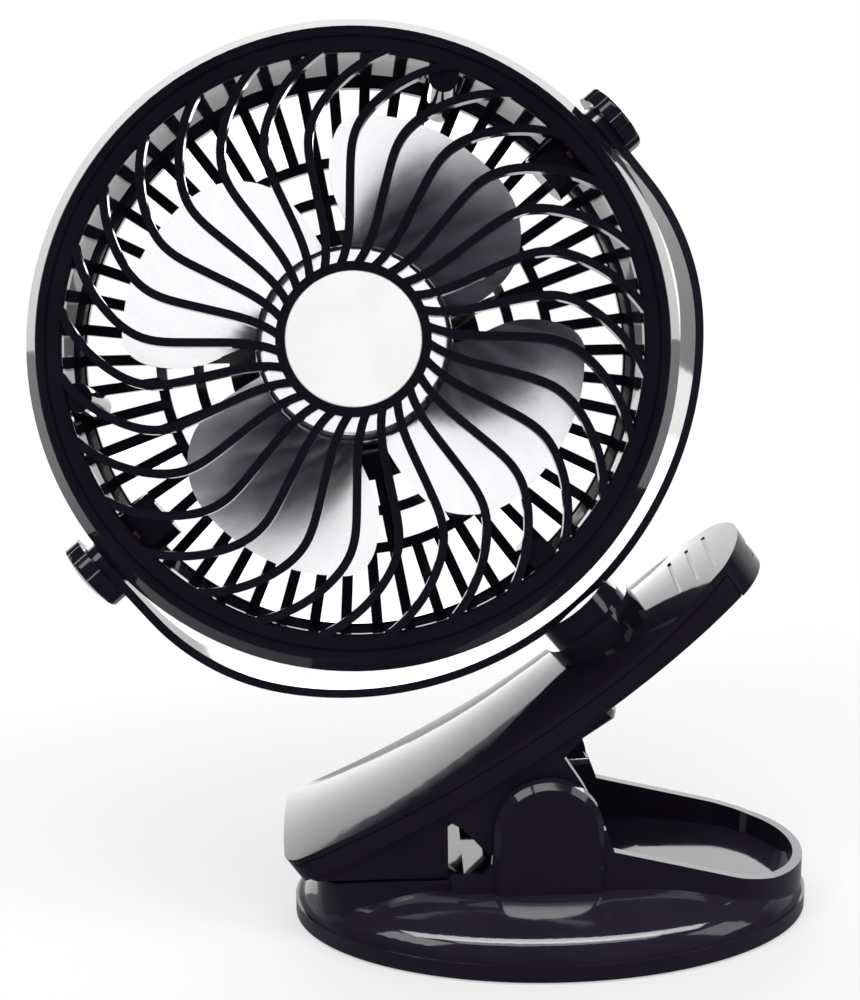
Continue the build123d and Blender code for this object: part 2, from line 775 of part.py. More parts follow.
def yoke_outline(inset):
    """Half-ring outline: straight arms, a blend, and a round bow about the head's centre."""
    span = yoke_half_span - inset
    bow = yoke_radius - inset
    drop = yoke_straight
    blend = (bow ** 2 - span ** 2 - drop ** 2) / (2 * (bow - span))
    centre_x = span - blend
    reach = sqrt(centre_x ** 2 + drop ** 2)
    join = (bow * centre_x / reach, -bow * drop / reach)
    mid_angle = atan2(-drop, centre_x) / 2
    mid = (centre_x + blend * cos(mid_angle), -drop + blend * sin(mid_angle))
    top = yoke_width / 2
    outline = Line((-span, top), (-span, -drop))
    outline += ThreePointArc((-span, -drop), (-mid[0], mid[1]), (-join[0], join[1]))
    outline += ThreePointArc((-join[0], join[1]), (0, -bow), join)
    outline += ThreePointArc(join, mid, (span, -drop))
    outline += Line((span, -drop), (span, top))
    outline += Line((span, top), (-span, top))
    return make_face(outline)


def yoke():
    strip = extrude(yoke_outline(0) - yoke_outline(yoke_thickness), amount=yoke_width / 2, both=True)
    across = Plane(origin=(0, 0, 0), x_dir=(0, 1, 0), z_dir=(1, 0, 0))
    rounded = rod(yoke_width / 2, -90, 90, across)
    rounded += block(-90, 90, -90, 0, -yoke_width / 2, yoke_width / 2)
    strip = strip & rounded
    body = yoke_place * strip
    boss_end = swivel_level - swivel_gap
    body += rod(boss_diameter / 2, yoke_radius - 1.2, boss_end, stem_plane)
    body += rod(flange_diameter / 2, boss_end - flange_height, boss_end, stem_plane)
    body += rod(shaft_diameter / 2, swivel_level - 1, seat_level + swivel_gap, stem_plane)
    body -= rod(screw_shank / 2, seat_level - 7, seat_level + 9, stem_plane)
    for side in (1, -1):
        axis = Plane(origin=head_centre, x_dir=face_dir, z_dir=pivot_dir * side)
        body -= rod(stud_diameter / 2 + running_gap, 50, 90, axis)
    return body


def swivel_washer():
    base = seat_level + swivel_gap
    disc = rod(washer_diameter / 2, base, base + washer_thickness, stem_plane)
    return disc - rod(screw_shank / 2 + 0.1, base - 1, base + 3, stem_plane)


def swivel_screw():
    base = seat_level + swivel_gap + washer_thickness
    screw = rod(screw_shank / 2, base - 6.5, base, stem_plane)
    screw += rod(screw_head / 2, base, base + screw_head_height, stem_plane)
    cross = Box(2.4, 0.5, 0.9) + Box(0.5, 2.4, 0.9)
    return screw - stem_plane.location * cross.moved(Location((0, 0, base + screw_head_height)))


# ---- Head ---------------------------------------------------------------------------------

def rib_band():
    """Domed layer that the grille's ribs are cut from."""
    top = rim_front + front_dome
    mid = top - 2.4
    edge = rim_front - 0.3
    outline = Spline((12, 0, top), (40, 0, mid), (61, 0, edge))
    outline += Line((61, 0, edge), (61, 0, edge - rib_depth))
    outline += Spline((61, 0, edge - rib_depth), (40, 0, mid - rib_depth), (12, 0, top - rib_depth))
    outline += Line((12, 0, top - rib_depth), (12, 0, top))
    return revolve(make_face(outline), Axis.Z)


def circles_at(shape, radius, z):
    return [
        e for e in shape.edges().filter_by(GeomType.CIRCLE)
        if abs(e.radius - radius) < 0.01 and abs(e.center().Z - z) < 0.01
    ]


def front_ring():
    lip = rim_inner + shell_wall
    lip_back = rim_front - rib_depth - 0.4
    seam = shell_seam + seam_gap
    ring = turned([
        (rim_inner, rim_front), (rim_radius, rim_front), (shell_radius, seam),
        (shell_radius - shell_wall, seam), (rim_radius - 0.7, rim_front - 2.0),
        (lip, rim_front - 2.0), (lip, lip_back), (rim_inner, lip_back),
    ])
    ring = fillet(circles_at(ring, rim_radius, rim_front), 1.2)
    ring = fillet(circles_at(ring, rim_inner, rim_front), 0.8)
    return ring - turned([(62.0, rim_front - 0.4), (62.6, rim_front - 0.4), (62.6, 12), (62.0, 12)])


def front_grille():
    path = Spline(
        polar(15.0, 0), polar(20.8, -6.9), polar(28.6, -8.3), polar(33.3, -8.6),
        polar(42.5, -10.4), polar(48.4, -14.9), polar(60.6, -30.4),
    )
    rib = extrude(trace(path, line_width=rib_width), amount=30) & rib_band()
    ribs = [rib.rotate(Axis.Z, rib_start + 360 * i / rib_count) for i in range(rib_count)]
    top = rim_front + front_dome + 0.2
    hub = rod(hub_ring_radius, top - hub_ring_depth, top)
    hub = fillet(hub.edges().group_by(Axis.Z)[-1], 0.6)
    hub -= rod(badge_radius, top - badge_thickness, top + 5)
    grille = front_ring().fuse(hub, *ribs)
    post_top = rim_front - 0.8
    for angle in shell_screw_angles:
        place = Plane(origin=(*polar(shell_screw_radius, angle), 0))
        grille += rod(shell_post_diameter / 2, 0.0, post_top, place)
        web = block(shell_screw_radius + 1, rim_inner + 1, -1.5, 1.5, post_top - rib_depth, post_top)
        grille += web.rotate(Axis.Z, angle)
        grille -= rod(screw_shank / 2 - 0.1, -1, 5.0, place)
    return head_place * grille


def hub_disc():
    top = rim_front + front_dome + 0.2
    disc = rod(badge_radius, top - badge_thickness, top - 0.1)
    return head_place * fillet(disc.edges().group_by(Axis.Z)[-1], 0.3)


def spoke_set(count):
    bars = Sketch()
    for i in range(count):
        bars += Rot(0, 0, 360 * i / count) * Pos(42, 0) * Rectangle(44, rear_bar_width)
    return bars


def grille_openings():
    """The gaps of the rear grille, as flat sketches."""
    half = rear_ring_width / 2
    spokes = spoke_set(rear_spoke_count)
    outer = Circle(rear_radius - shell_wall - 0.4) - Circle(rear_ring_outer + half) - spoke_set(rear_bar_count)
    middle = Circle(rear_ring_outer - half) - Circle(rear_ring_inner + half) - spokes
    inner = Circle(rear_ring_inner - half) - Circle(rear_disc_radius + 0.8) - spokes
    return [outer, middle, inner]


def shell_form(inset, top, back):
    wide = shell_radius - inset
    outline = Line((0, 0, top), (wide, 0, top))
    outline += Line((wide, 0, top), (wide, 0, 0))
    outline += Spline((wide, 0, 0), (wide - 1.2, 0, -11), (wide - 4.4, 0, -20))
    outline += Line((wide - 4.4, 0, -20), (rear_radius - inset, 0, back))
    outline += Line((rear_radius - inset, 0, back), (0, 0, back))
    outline += Line((0, 0, back), (0, 0, top))
    return revolve(make_face(outline), Axis.Z)


def pivot_axis(side):
    return Plane(origin=(0, 0, 0), x_dir=(0, 0, 1), z_dir=(side, 0, 0))


def rear_shell():
    shell = shell_form(0, shell_seam, rear_back) - shell_form(shell_wall, shell_seam + 1, motor_back)
    for gap in grille_openings():
        shell -= extrude(gap, amount=12).moved(Location((0, 0, rear_back - 5)))
    lip = shell_radius - shell_wall
    shell += turned([
        (lip + 0.3, -1.5), (lip + 0.3, shell_seam - 0.3), (lip - 1.2, shell_seam - 0.3),
        (lip - 1.2, shell_seam + 2.0), (lip - 2.6, shell_seam + 2.0), (lip - 2.6, 1.4),
    ])
    for side in (1, -1):
        boss = rod(pivot_boss_diameter / 2, pivot_boss_inner, pivot_face, pivot_axis(side))
        shell += boss & block(-90, 90, -20, 20, -20, shell_seam - 0.1)
        shell -= rod(stud_diameter / 2 + running_gap, insert_inner, 90, pivot_axis(side))
        shell -= rod(insert_diameter / 2, insert_inner, 63.4, pivot_axis(side))
    for angle in shell_screw_angles:
        place = Plane(origin=(*polar(shell_screw_radius, angle), 0))
        shell += rod(shell_post_diameter / 2, rear_back, -0.1, place)
        shell -= rod(screw_shank / 2 + 0.1, rear_back - 1, 1, place)
        shell -= rod(2.15, rear_back - 1, shell_screw_seat, place)
    shell += rod(motor_cup_radius, motor_back - 0.5, motor_front - 0.8)
    shell -= rod(motor_cup_radius - casing_wall, motor_back, motor_front)
    seat = motor_diameter / 2 + motor_clearance
    for i in range(6):
        rib = block(seat, motor_cup_radius - 1, -0.7, 0.7, motor_back - 0.5, motor_front - 2.0)
        shell += rib.rotate(Axis.Z, 60 * i)
    for x in (-motor_screw_radius, motor_screw_radius):
        shell -= rod(1.1, rear_back - 1, motor_back + 1, Plane(origin=(x, 0, 0)))
    shell -= rod(2.2, rear_back - 1, motor_back + 1, Plane(origin=(0, -9.2, 0)))
    return head_place * shell


def shell_screws():
    screws = []
    for angle in shell_screw_angles:
        place = Plane(origin=(*polar(shell_screw_radius, angle), 0))
        body = rod(2.0, shell_screw_seat - 1.2, shell_screw_seat, place)
        body += rod(screw_shank / 2 - 0.1, shell_screw_seat, 4.6, place)
        body -= place.location * Box(2.2, 0.5, 1.2).moved(Location((0, 0, shell_screw_seat - 1.2)))
        screws.append((head_place * body).solid())
    return group(screws)


def pivot_inserts():
    rings = []
    for side in (1, -1):
        ring = rod(insert_diameter / 2, insert_inner, 63.4, pivot_axis(side))
        ring -= rod(stud_diameter / 2 + running_gap, 50, 70, pivot_axis(side))
        rings.append((head_place * ring).solid())
    return group(rings)


def knob(side):
    """Thumb knob whose stud passes through the yoke into the head's insert."""
    radius = knob_diameter / 2
    edge = knob_height * 0.72
    crown_radius = (radius ** 2 + (knob_height - edge) ** 2) / (2 * (knob_height - edge))
    crown = Sphere(crown_radius).moved(Location((0, 0, knob_height - crown_radius)))
    cap = rod(radius, 0, knob_height) & crown
    cap = fillet(circles_at(cap, radius, edge), 0.8)
    for i in range(knob_flutes):
        cap -= rod(1.6, -1, 10, Plane(origin=(*polar(radius + 1.05, 360 * i / knob_flutes), 0)))
    body = pivot_axis(side).location * cap.moved(Location((0, 0, knob_back)))
    body += rod(stud_diameter / 2, insert_inner + 0.6, knob_back + 0.5, pivot_axis(side))
    return head_place * body


def rear_cap():
    back = rear_back - cap_depth
    flat = cap_radius - 6
    outline = Line((0, 0, back), (flat, 0, back))
    outline += Spline((flat, 0, back), (cap_radius - 1.6, 0, back + 1.4), (cap_radius, 0, rear_back))
    outline += Line((cap_radius, 0, rear_back), (cap_radius - cap_wall, 0, rear_back))
    outline += Line((cap_radius - cap_wall, 0, rear_back), (flat, 0, back + cap_wall))
    outline += Line((flat, 0, back + cap_wall), (0, 0, back + cap_wall))
    outline += Line((0, 0, back + cap_wall), (0, 0, back))
    return head_place * revolve(make_face(outline), Axis.Z)


# ---- Motor and rotor ----------------------------------------------------------------------

def motor_can():
    can = rod(motor_diameter / 2, motor_back, motor_front)
    can = fillet(can.edges().group_by(Axis.Z)[-1], 1.2)
    can -= rod(shaft_radius + running_gap, motor_back + 1.0, motor_front + 2)
    can -= rod(3.0, motor_front - 1.0, motor_front + 2)
    for x in (-motor_screw_radius, motor_screw_radius):
        can -= rod(0.95, motor_back - 1, motor_back + 3, Plane(origin=(x, 0, 0)))
    return head_place * can


def motor_bush():
    bush = rod(3.0, motor_front - 1.0, motor_front + 0.8)
    return head_place * (bush - rod(shaft_radius + running_gap, motor_back, motor_front + 2))


def motor_screws():
    screws = []
    for x in (-motor_screw_radius, motor_screw_radius):
        place = Plane(origin=(x, 0, 0))
        body = rod(1.9, rear_back - 0.9, rear_back, place) + rod(0.95, rear_back, motor_back + 2.8, place)
        body -= place.location * Box(2.4, 0.4, 0.8).moved(Location((0, 0, rear_back - 0.9)))
        screws.append((head_place * body).solid())
    return group(screws)


def motor_shaft():
    return head_place * rod(shaft_radius, motor_back + 1.3, rotor_hub_front - 3.0)


def blade_height(angle):
    share = (angle + 26) / 83
    return blade_back + (blade_front - blade_back) * share - blade_camber * sin(pi * share)


def blade():
    """One twisted blade: a helical sheet trimmed to the blade's outline."""
    sections = []
    for angle in (-32, -8, 16, 40, 64):
        x, y = polar(1, angle)
        place = Plane(origin=(0, 0, 0), x_dir=(x, y, 0), z_dir=(y, -x, 0))
        face = Rectangle(34, blade_thickness).moved(Location((34, blade_height(angle), 0)))
        sections.append(place.location * face)
    sheet = loft(sections)
    outline = Spline(
        polar(blade_root, -26), polar(21.7, -24), polar(38.3, -13), polar(44.5, -1),
        polar(46.8, 15), polar(47.7, 30), polar(47.4, 44),
    )
    outline += Spline(
        polar(47.4, 44), polar(45.5, 51.8), polar(38, 56.3), polar(33, 57), polar(24.2, 52),
        polar(blade_root, 49),
    )
    outline += ThreePointArc(polar(blade_root, 49), polar(blade_root, 12), polar(blade_root, -26))
    trim = extrude(make_face(outline), amount=40).moved(Location((0, 0, -20)))
    return sheet & trim


def rotor():
    hub = rod(rotor_hub_radius, rotor_hub_back, rotor_hub_front)
    hub = fillet(hub.edges().group_by(Axis.Z)[-1], 2.0)
    hub -= rod(rotor_hub_radius - rotor_wall, rotor_hub_back - 1, rotor_hub_front - 2.0)
    hub += rod(3.4, -3.0, rotor_hub_front - 1.5)
    hub -= rod(shaft_radius, -5, rotor_hub_front - 3.0)
    one = blade()
    blades = [one.rotate(Axis.Z, 360 * i / blade_count) for i in range(blade_count)]
    return head_place * hub.fuse(*blades)


# ---- Build --------------------------------------------------------------------------------

save("lower_jaw", lower_jaw())
save("base_cover", base_cover())
save("foot_pads", foot_pads())
save("base_screws", base_screws())
save("lower_jaw_pad", lower_jaw_pad())
save("hinge_pin", hinge_pin())
save("torsion_spring", torsion_spring())
save("upper_casing", upper_casing())
save("lower_casing", lower_casing())
save("upper_jaw_pad", upper_jaw_pad())
save("battery_cell", battery_cell())
save("battery_contacts", battery_contacts())
save("circuit_board", circuit_board())
save("charging_socket", charging_socket())
save("indicator_lens", indicator_lens())
save("casing_screws", casing_screws())
save("power_button", power_button())
save("yoke", yoke())
save("swivel_washer", swivel_washer())
save("swivel_screw", swivel_screw())
save("front_grille", front_grille())
save("hub_disc", hub_disc())
save("rear_shell", rear_shell())
save("rear_cap", rear_cap())
save("shell_screws", shell_screws())
save("pivot_inserts", pivot_inserts())
save("knob_right", knob(1))
save("knob_left", knob(-1))
save("motor_can", motor_can())
save("motor_bush", motor_bush())
save("motor_screws", motor_screws())
save("motor_shaft", motor_shaft())
save("rotor", rotor())
print("least gap between turns of the spring", round(least_spring_gap(), 3), "mm")
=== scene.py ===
import json
from math import cos, pi, radians, sin

import bpy
from mathutils import Matrix, Vector

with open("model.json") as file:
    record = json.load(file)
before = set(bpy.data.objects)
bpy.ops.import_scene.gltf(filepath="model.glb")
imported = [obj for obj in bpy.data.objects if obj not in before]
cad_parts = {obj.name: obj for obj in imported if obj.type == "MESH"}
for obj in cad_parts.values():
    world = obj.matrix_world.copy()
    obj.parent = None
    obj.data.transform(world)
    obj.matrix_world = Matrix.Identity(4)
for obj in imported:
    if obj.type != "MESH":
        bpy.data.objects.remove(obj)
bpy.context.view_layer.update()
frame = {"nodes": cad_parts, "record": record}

# A small clip-on fan in glossy violet-black plastic with silver blades, on a white sweep.
# Everything is in metres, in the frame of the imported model.

MM = 0.001
nodes = frame["nodes"]

# ---- Camera -------------------------------------------------------------------------------

camera_place = Vector((-0.04121, -0.45493, 0.24831))
camera_target = Vector((-0.0258, 0.0, 0.0960))
camera_roll = radians(-0.78)
camera_lens = 81.8          # for a 36 mm sensor on the picture's longer side


def make_camera():
    """The camera that was fitted to the photo."""
    data = bpy.data.cameras.new("camera")
    data.lens = camera_lens
    data.sensor_width = 36.0
    data.clip_start = 0.01
    data.clip_end = 50.0
    camera = bpy.data.objects.new("camera", data)
    bpy.context.scene.collection.objects.link(camera)
    look = (camera_target - camera_place).to_track_quat("-Z", "Y").to_matrix().to_4x4()
    camera.matrix_world = Matrix.Translation(camera_place) @ look @ Matrix.Rotation(camera_roll, 4, "Z")
    bpy.context.scene.camera = camera


# ---- Node helpers -------------------------------------------------------------------------

class Tree:
    """Short names for building one tree of shader nodes."""

    def __init__(self, tree):
        self.tree = tree

    def node(self, kind, inputs=None, **settings):
        made = self.tree.nodes.new(kind)
        for key, value in settings.items():
            setattr(made, key, value)
        for key, value in (inputs or {}).items():
            self.put(made.inputs[key], value)
        return made

    def put(self, socket, value):
        if isinstance(value, bpy.types.NodeSocket):
            self.tree.links.new(value, socket)
        else:
            socket.default_value = value

    def remap(self, value, low, high, start=0.3, end=0.7):
        """From low to high while the value goes from start to end, and level outside that."""
        return self.node("ShaderNodeMapRange", {
            "Value": value, "From Min": start, "From Max": end, "To Min": low, "To Max": high,
        }).outputs[0]

    def math(self, operation, a, b=0.0):
        return self.node("ShaderNodeMath", {0: a, 1: b}, operation=operation).outputs[0]

    def mix(self, factor, a, b):
        """From colour a to colour b as the factor goes from 0 to 1."""
        made = self.node("ShaderNodeMix", data_type="RGBA")
        self.put(made.inputs[0], factor)
        self.put(made.inputs[6], a if isinstance(a, bpy.types.NodeSocket) else (*a, 1.0))
        self.put(made.inputs[7], b if isinstance(b, bpy.types.NodeSocket) else (*b, 1.0))
        return made.outputs[2]

    def ray_kinds(self):
        """1 for a ray from the camera, and 1 for a mirrored or refracted ray."""
        rays = self.node("ShaderNodeLightPath").outputs
        mirror = self.math("MAXIMUM", rays["Is Glossy Ray"], rays["Is Transmission Ray"])
        return rays["Is Camera Ray"], mirror


class Surface(Tree):
    """A new material, with noise and bump in the piece's own coordinates."""

    def __init__(self, name):
        self.material = bpy.data.materials.new(name)
        self.material.use_nodes = True
        super().__init__(self.material.node_tree)
        self.shader = self.tree.nodes["Principled BSDF"]
        self.coordinates = self.node("ShaderNodeTexCoord").outputs["Object"]

    def set(self, **values):
        for key, value in values.items():
            self.put(self.shader.inputs[key.replace("_", " ")], value)

    def noise(self, scale, detail=3.0, roughness=0.55, stretch=None):
        where = self.coordinates
        if stretch:
            where = self.node("ShaderNodeMapping", {"Vector": where, "Scale": stretch}).outputs[0]
        return self.node("ShaderNodeTexNoise", {
            "Vector": where, "Scale": scale, "Detail": detail, "Roughness": roughness,
        }).outputs["Fac"]

    def bump(self, height, distance, strength=1.0):
        made = self.node("ShaderNodeBump", {
            "Height": height, "Distance": distance, "Strength": strength,
        })
        self.set(Normal=made.outputs[0])


def scaled(colour, factor):
    """A colour made lighter or darker by one factor."""
    return tuple(min(1.0, part * factor) for part in colour)


# ---- Materials ----------------------------------------------------------------------------

def moulded_plastic(name, colour, roughness, spread=0.04, ripple=0.02, dust_share=0.35):
    """Moulded plastic: faint flow marks, a slight ripple, specks of dust and hairline scratches."""
    g = Surface(name)
    flow = g.noise(scale=38.0, detail=4.0, stretch=(1.0, 1.0, 1.8))
    tone = g.mix(g.remap(flow, 0.0, 1.0), scaled(colour, 0.82), scaled(colour, 1.2))
    dust = g.remap(g.noise(scale=2600.0, detail=2.0, roughness=0.7), 0.0, 1.0, 0.70, 0.80)
    pale = tuple(part * 0.8 + 0.10 for part in colour)
    g.set(Base_Color=g.mix(g.math("MULTIPLY", dust, dust_share), tone, pale))
    cloud = g.noise(scale=55.0, detail=5.0, roughness=0.65)
    smear = g.remap(cloud, roughness - spread * 0.5, roughness + spread)
    scratch = g.noise(scale=900.0, detail=1.0, stretch=(0.05, 1.0, 1.0))
    hairline = g.remap(scratch, 0.0, spread, 0.62, 0.74)
    g.set(Roughness=g.math("ADD", smear, hairline), IOR=1.5)
    g.bump(g.noise(scale=160.0, detail=2.0), ripple * MM)
    return g


def silver_plastic():
    """Silver lacquer with fine flakes."""
    g = Surface("silver_lacquer")
    flakes = g.noise(scale=5200.0, detail=1.0, roughness=0.5)
    tone = g.mix(g.remap(flakes, 0.0, 1.0, 0.35, 0.65), (0.84, 0.84, 0.86), (0.95, 0.95, 0.96))
    g.set(Base_Color=tone, Metallic=1.0)
    g.set(Roughness=g.remap(g.noise(scale=70.0, detail=4.0), 0.12, 0.19))
    g.set(Coat_Weight=0.2, Coat_Roughness=0.08)
    g.bump(flakes, 0.004 * MM)
    return g


def satin_white():
    """Plain white plastic of the bare disc."""
    g = Surface("satin_white")
    cloud = g.noise(scale=90.0, detail=3.0)
    g.set(Base_Color=g.mix(g.remap(cloud, 0.0, 1.0), (0.90, 0.90, 0.895), (0.95, 0.95, 0.945)))
    g.set(Roughness=g.remap(g.noise(scale=240.0, detail=4.0), 0.30, 0.42))
    g.bump(g.noise(scale=2400.0, detail=2.0), 0.006 * MM)
    return g


def rubber():
    """Matt black rubber with a fine pebbled skin."""
    g = Surface("rubber")
    bloom = g.remap(g.noise(scale=120.0, detail=4.0), 0.0, 1.0)
    tone = g.mix(bloom, (0.016, 0.016, 0.017), (0.045, 0.044, 0.044))
    g.set(Base_Color=tone, Specular_IOR_Level=0.35)
    g.set(Roughness=g.remap(g.noise(scale=500.0, detail=4.0), 0.62, 0.86))
    g.bump(g.noise(scale=1800.0, detail=3.0), 0.05 * MM, 0.8)
    return g


def metal(name, colour, roughness, brushed=(1.0, 1.0, 14.0)):
    """Bare metal with a fine grain along one direction and duller stains."""
    g = Surface(name)
    grain = g.noise(scale=420.0, detail=4.0, roughness=0.6, stretch=brushed)
    tone = g.mix(g.remap(grain, 0.0, 1.0), scaled(colour, 0.78), colour)
    stain = g.remap(g.noise(scale=160.0, detail=5.0), 0.0, 0.35, 0.55, 0.75)
    g.set(Base_Color=g.mix(stain, tone, scaled(colour, 0.5)), Metallic=1.0)
    g.set(Roughness=g.remap(grain, roughness * 0.7, roughness * 1.5))
    g.bump(grain, 0.008 * MM)
    return g


def cell_wrap():
    """Green shrink sleeve with soft wrinkles."""
    g = Surface("cell_wrap")
    cloud = g.remap(g.noise(scale=60.0, detail=4.0), 0.0, 1.0)
    tone = g.mix(cloud, (0.02, 0.16, 0.10), (0.03, 0.24, 0.15))
    g.set(Base_Color=tone)
    g.set(Roughness=g.remap(g.noise(scale=140.0, detail=3.0), 0.22, 0.38))
    g.bump(g.noise(scale=170.0, detail=3.0, stretch=(0.3, 1.0, 1.0)), 0.10 * MM, 0.7)
    return g


def board():
    """Solder mask over a pattern of copper tracks."""
    g = Surface("board")
    tracks = g.node("ShaderNodeTexBrick", {
        "Vector": g.coordinates, "Scale": 320.0, "Mortar Size": 0.07, "Mortar Smooth": 0.2,
    }).outputs["Fac"]
    tone = g.mix(tracks, (0.01, 0.10, 0.035), (0.03, 0.20, 0.06))
    g.set(Base_Color=tone, Roughness=g.remap(g.noise(scale=300.0, detail=3.0), 0.28, 0.45))
    g.bump(tracks, 0.03 * MM, 0.6)
    return g


def clear_lens():
    """Slightly frosted clear plastic of the light guide."""
    g = Surface("clear_lens")
    g.set(Base_Color=(0.82, 0.92, 1.0, 1.0), Transmission_Weight=0.85, IOR=1.49)
    g.set(Roughness=g.remap(g.noise(scale=300.0, detail=3.0), 0.18, 0.32))
    g.bump(g.noise(scale=900.0, detail=2.0), 0.01 * MM)
    return g


shell_colour = (0.0105, 0.0085, 0.0150)

surfaces = {
    "shell_dark": moulded_plastic("gloss_violet_black", shell_colour, 0.055, 0.03),
    "cover_dark": moulded_plastic("cover_black", (0.014, 0.013, 0.016), 0.36, 0.10, 0.05),
    "blade_plastic": silver_plastic(),
    "badge_white": satin_white(),
    "rubber_black": rubber(),
    "steel": metal("steel", (0.62, 0.61, 0.60), 0.30),
    "spring_steel": metal("spring_steel", (0.50, 0.50, 0.52), 0.26, (1.0, 1.0, 1.0)),
    "brass": metal("brass", (0.80, 0.60, 0.30), 0.28),
    "plated": metal("plated_can", (0.70, 0.70, 0.68), 0.24),
    "cell_wrap": cell_wrap(),
    "board_green": board(),
    "lens_clear": clear_lens(),
}


def dress_nodes():
    """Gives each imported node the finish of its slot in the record."""
    for row in frame["record"]["subparts"]:
        piece = nodes[row["node"]]
        piece.data.materials.clear()
        piece.data.materials.append(surfaces[row["material_slot"]].material)


edge_rounds = {        # node: width in millimetres, and the angle in degrees past which an edge is sharp
    "lower_jaw": (0.25, 40.0),
    "upper_casing": (0.25, 40.0),
    "lower_casing": (0.25, 40.0),
    "yoke": (0.25, 40.0),
    "front_grille": (0.5, 30.0),
}


def soften_edges():
    """A small round on the sharp edges of the mouldings, so that they catch the light."""
    for name, (width, angle) in edge_rounds.items():
        bevel = nodes[name].modifiers.new("soft_edges", "BEVEL")
        bevel.width = width * MM
        bevel.segments = 2
        bevel.limit_method = "ANGLE"
        bevel.angle_limit = radians(angle)
        bevel.harden_normals = False


# ---- Stage --------------------------------------------------------------------------------

white = (1.0, 1.0, 1.0)
room_dark = (0.030, 0.026, 0.040)      # what gloss reflects of the room on the camera's side
room_fill = (0.55, 0.55, 0.55)         # even light of the room on everything
wall_begins, wall_full = -0.05, 0.40   # how far backward a mirrored ray goes to meet the white wall
wall_top, wall_fades = 0.50, 0.56      # how far upward it goes where the wall ends

floor_radius = 6.0
floor_sides = 96
floor_white = (0.93, 0.93, 0.935)
floor_dark_to, floor_white_from = -0.04, 0.12     # along Y, for mirrored rays only
shadow_reach, shadow_ends = 0.14, 0.50            # distances from the middle
white_share_near, white_share_far = 0.50, 1.0     # of plain white in what the camera sees there


def make_world():
    """White for the camera, a white back wall in a dark room for gloss, and an even fill light."""
    world = bpy.data.worlds.new("studio")
    world.use_nodes = True
    bpy.context.scene.world = world
    g = Tree(world.node_tree)
    back = g.tree.nodes["Background"]
    camera, mirror = g.ray_kinds()
    direction = g.node("ShaderNodeTexCoord").outputs["Generated"]
    split = g.node("ShaderNodeSeparateXYZ", {0: direction})
    toward_back = g.remap(split.outputs["Y"], 0.0, 1.0, wall_begins, wall_full)
    below_top = g.remap(split.outputs["Z"], 1.0, 0.0, wall_top, wall_fades)
    wall = g.mix(g.math("MULTIPLY", toward_back, below_top), room_dark, white)
    g.put(back.inputs["Color"], g.mix(camera, g.mix(mirror, room_fill, wall), white))
    back.inputs["Strength"].default_value = 1.0


def disc(name, radius, sides):
    """A flat round sheet in the plane of the table."""
    mesh = bpy.data.meshes.new(name)
    turns = [2 * pi * i / sides for i in range(sides)]
    rim = [(radius * cos(turn), radius * sin(turn), 0.0) for turn in turns]
    mesh.from_pydata(rim, [], [tuple(range(sides))])
    made = bpy.data.objects.new(name, mesh)
    bpy.context.scene.collection.objects.link(made)
    return made


def make_stage():
    """A white floor that keeps the fan's soft shadow and is plain white away from it."""
    floor = disc("floor", floor_radius, floor_sides)
    g = Surface("white_sweep")
    g.set(Base_Color=(*floor_white, 1.0), Roughness=0.9, Specular_IOR_Level=0.1)
    camera, mirror = g.ray_kinds()
    split = g.node("ShaderNodeSeparateXYZ", {0: g.coordinates})
    away = g.node("ShaderNodeVectorMath", {0: g.coordinates}, operation="LENGTH").outputs["Value"]
    toward_back = g.remap(split.outputs["Y"], 0.0, 1.0, floor_dark_to, floor_white_from)
    shown = g.mix(mirror, white, g.mix(toward_back, room_dark, white))
    glow = g.node("ShaderNodeEmission", {"Color": shown, "Strength": 1.0})
    share = g.remap(away, white_share_near, white_share_far, shadow_reach, shadow_ends)
    blend = g.node("ShaderNodeMixShader")
    g.put(blend.inputs[0], g.math("MAXIMUM", g.math("MULTIPLY", camera, share), mirror))
    g.put(blend.inputs[1], g.shader.outputs[0])
    g.put(blend.inputs[2], glow.outputs[0])
    g.put(g.tree.nodes["Material Output"].inputs["Surface"], blend.outputs[0])
    floor.data.materials.append(g.material)


# ---- Lamps --------------------------------------------------------------------------------
# A lamp's radiance is how bright it looks in a mirror, where the white background is 1.

joints = {row["name"]: row for row in frame["record"]["behaviour"]["joints"]}
head_centre = Vector(joints["head_tilt"]["pos_m"])
head_facing = Vector(joints["fan_spin"]["axis"]).normalized()
head_right = Vector((0.0, 0.0, 1.0)).cross(head_facing).normalized()
head_up = head_facing.cross(head_right)

room_softboxes = (      # name, place, what it faces, width and height, radiance
    ("key_left", (-0.85, -0.65, 1.05), (-0.02, 0.0, 0.10), (0.55, 0.55), 4.0),
    ("fill_right", (0.95, -0.45, 0.60), (0.0, 0.0, 0.08), (0.35, 0.70), 2.5),
    ("overhead", (0.05, -0.42, 1.15), (0.0, -0.02, 0.05), (1.0, 0.30), 4.0),
    ("back_panel", (-0.15, 0.95, 0.33), (-0.02, 0.0, 0.12), (1.70, 0.62), 2.6),
)
foot_softbox = ("shoulder_strip", (0.05, -0.27, 1.15), (0.03, 0.0, 0.02), (1.5, 0.26), 11.0)

blade_cards = (         # name, turn in degrees, and the near corner along and across that turn
    ("blade_card_upper", 17.0, -0.10, -0.12),
    ("blade_card_lower", 197.0, 0.12, -0.36),
)
blade_card_distance = 1.2
blade_card_reach = 1.5
blade_radiance = 1.06

back_card_distance = 0.6
back_card_rise = 0.45
back_card_size = (3.2, 1.9)
inner_wall_radiance = 3.4
ring_flank_radiance = 2.4

floor_card_place = Vector((-0.04, 0.12, 0.003))
floor_card_size = (0.9, 0.24)
floor_card_radiance = 2.6
facing_up = (Vector((1.0, 0.0, 0.0)), Vector((0.0, -1.0, 0.0)), Vector((0.0, 0.0, -1.0)))


